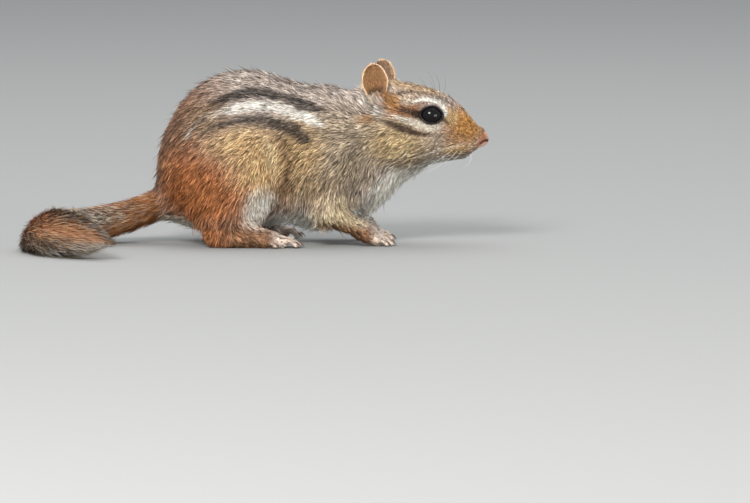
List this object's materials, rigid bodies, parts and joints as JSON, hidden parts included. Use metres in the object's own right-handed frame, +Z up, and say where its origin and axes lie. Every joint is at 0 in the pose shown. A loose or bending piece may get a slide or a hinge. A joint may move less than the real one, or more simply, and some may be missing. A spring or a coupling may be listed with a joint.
{
  "type": "chipmunk",
  "caption": "Life-size still model of a striped ground squirrel crouched on all fours with its head raised and its bushy tail laid round on the ground.",
  "frame": {"origin": "middle of the bounding box on the ground", "axes": "+X forwards along the body towards the head, +Y to its left, +Z up"},
  "size_m": [0.1646, 0.0932, 0.0651],
  "materials": {
    "body_coat": "matt ticked fur, buff, ochre and grey-brown with black and cream stripes",
    "head_coat": "short matt fur with pale and dark face stripes",
    "thigh_coat": "matt golden ochre fur",
    "leg_coat": "short matt buff fur",
    "foot_skin": "thinly furred greyish tan skin with dark horn claws",
    "ear_skin": "thin, finely furred orange-brown skin",
    "nose_skin": "bare moist pinkish skin",
    "eye": "wet glossy black",
    "tail_hair": "long matt hair, black and frosted pale edges over rufous"
  },
  "bodies": {
    "root": {"torso": "body_coat", "head": "head_coat", "nose": "nose_skin", "ear_left": "ear_skin", "ear_right": "ear_skin", "eye_left": "eye", "eye_right": "eye", "thigh_left": "thigh_coat", "thigh_right": "thigh_coat", "hindfoot_left": "foot_skin", "hindfoot_right": "foot_skin", "foreleg_left": "leg_coat", "foreleg_right": "leg_coat", "forepaw_left": "foot_skin", "forepaw_right": "foot_skin", "tail_base": "tail_hair", "tail_middle": "tail_hair", "tail_bend": "tail_hair", "tail_end": "tail_hair"}
  },
  "joints": []
}
